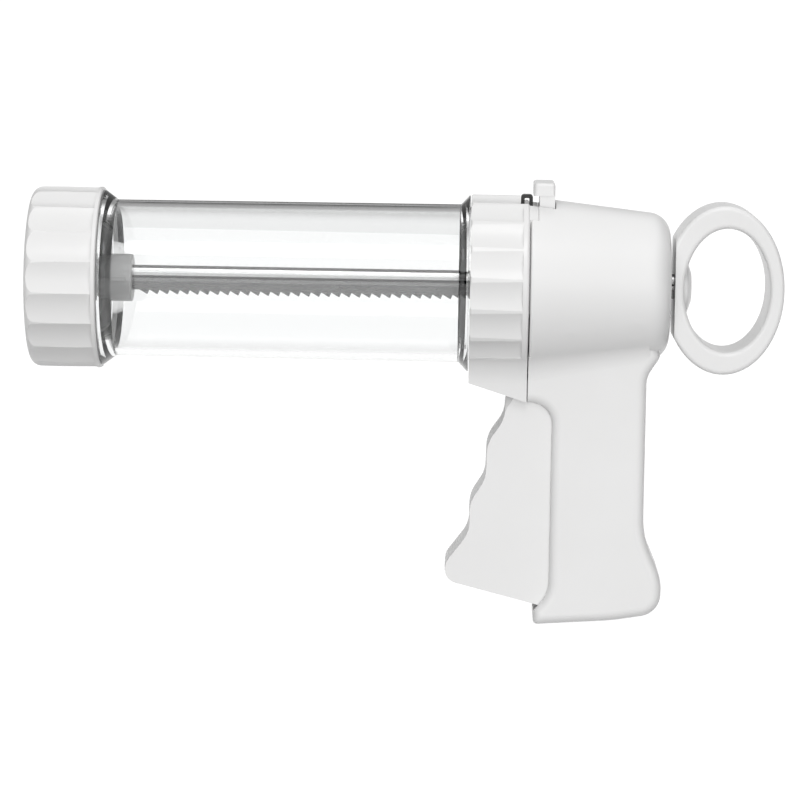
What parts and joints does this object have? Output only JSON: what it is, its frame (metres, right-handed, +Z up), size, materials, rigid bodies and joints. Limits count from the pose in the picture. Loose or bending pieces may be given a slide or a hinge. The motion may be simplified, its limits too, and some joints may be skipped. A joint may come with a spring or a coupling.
{
  "type": "cookie press",
  "caption": "Ratchet cookie press: clear barrel with screw-on nose cap and pattern disc, toothed plunger rod with ring pull, and a trigger handle.",
  "frame": {"origin": "centre of the nose cap's flat front rim, on the barrel axis", "axes": "+X back along the barrel towards the ring pull, +Y to the user's right as the press is held and aimed, +Z up with the grip hanging down"},
  "size_m": [0.2665, 0.0644, 0.1568],
  "materials": {
    "white_plastic": "moulded, softly glossy",
    "clear_plastic": "clear moulded acrylic",
    "grey_plastic": "moulded, satin",
    "black_plastic": "moulded, satin",
    "disc_metal": "stamped, bright",
    "rod_metal": "drawn, satin",
    "steel": "plated"
  },
  "bodies": {
    "handle": {"front_collar": "white_plastic", "left_housing": "white_plastic", "right_housing": "white_plastic", "housing_screws": "steel", "front_guide": "grey_plastic", "rear_guide": "grey_plastic", "trigger_pin": "steel", "trigger_spring": "steel", "release_spring": "steel", "button_clip": "black_plastic"},
    "barrel": {"barrel_tube": "clear_plastic"},
    "disc": {"cookie_disc": "disc_metal"},
    "cap": {"front_cap": "white_plastic"},
    "rack": {"rack_rod": "rod_metal", "plunger_disc": "grey_plastic", "plunger_screw": "steel", "pull_ring": "white_plastic", "ring_screw": "steel"},
    "trigger": {"trigger": "white_plastic", "drive_pawl_pin": "steel", "drive_pawl_spring": "steel"},
    "pawl": {"drive_pawl": "steel"},
    "release": {"release_button": "white_plastic", "holding_pawl": "steel"}
  },
  "joints": [
    {"name": "barrel_twist", "type": "hinge", "parent": "handle", "child": "barrel", "pos_m": [0.165, 0, 0], "axis": [1, 0, 0], "range_deg": [0, 45]},
    {"name": "cap_turn", "type": "hinge", "parent": "disc", "child": "cap", "pos_m": [0, 0, 0], "axis": [-1, 0, 0], "range_deg": [0, 720]},
    {"name": "disc_advance", "type": "slide", "parent": "barrel", "child": "disc", "axis": [-1, 0, 0], "range_m": [0, 0.012]},
    {"name": "rack_slide", "type": "slide", "parent": "handle", "child": "rack", "axis": [1, 0, 0], "range_m": [0, 0.1296]},
    {"name": "trigger_squeeze", "type": "hinge", "parent": "handle", "child": "trigger", "pos_m": [0.1915, 0, -0.0194], "axis": [0, -1, 0], "range_deg": [0, 15.8], "stiffness_Nm_per_rad": 1.5, "deforming": ["trigger_spring"]},
    {"name": "pawl_swing", "type": "hinge", "parent": "trigger", "child": "pawl", "pos_m": [0.2, 0, -0.0105], "axis": [0, 1, 0], "range_deg": [0, 12], "stiffness_Nm_per_rad": 0.01},
    {"name": "release_press", "type": "slide", "parent": "handle", "child": "release", "axis": [0, 0, -1], "range_m": [0, 0.003], "stiffness_N_per_m": 900, "deforming": ["release_spring"]}
  ],
  "couplings": [
    {"joint": "disc_advance", "follows": "cap_turn", "m_per_rad": 0.00095493}
  ]
}
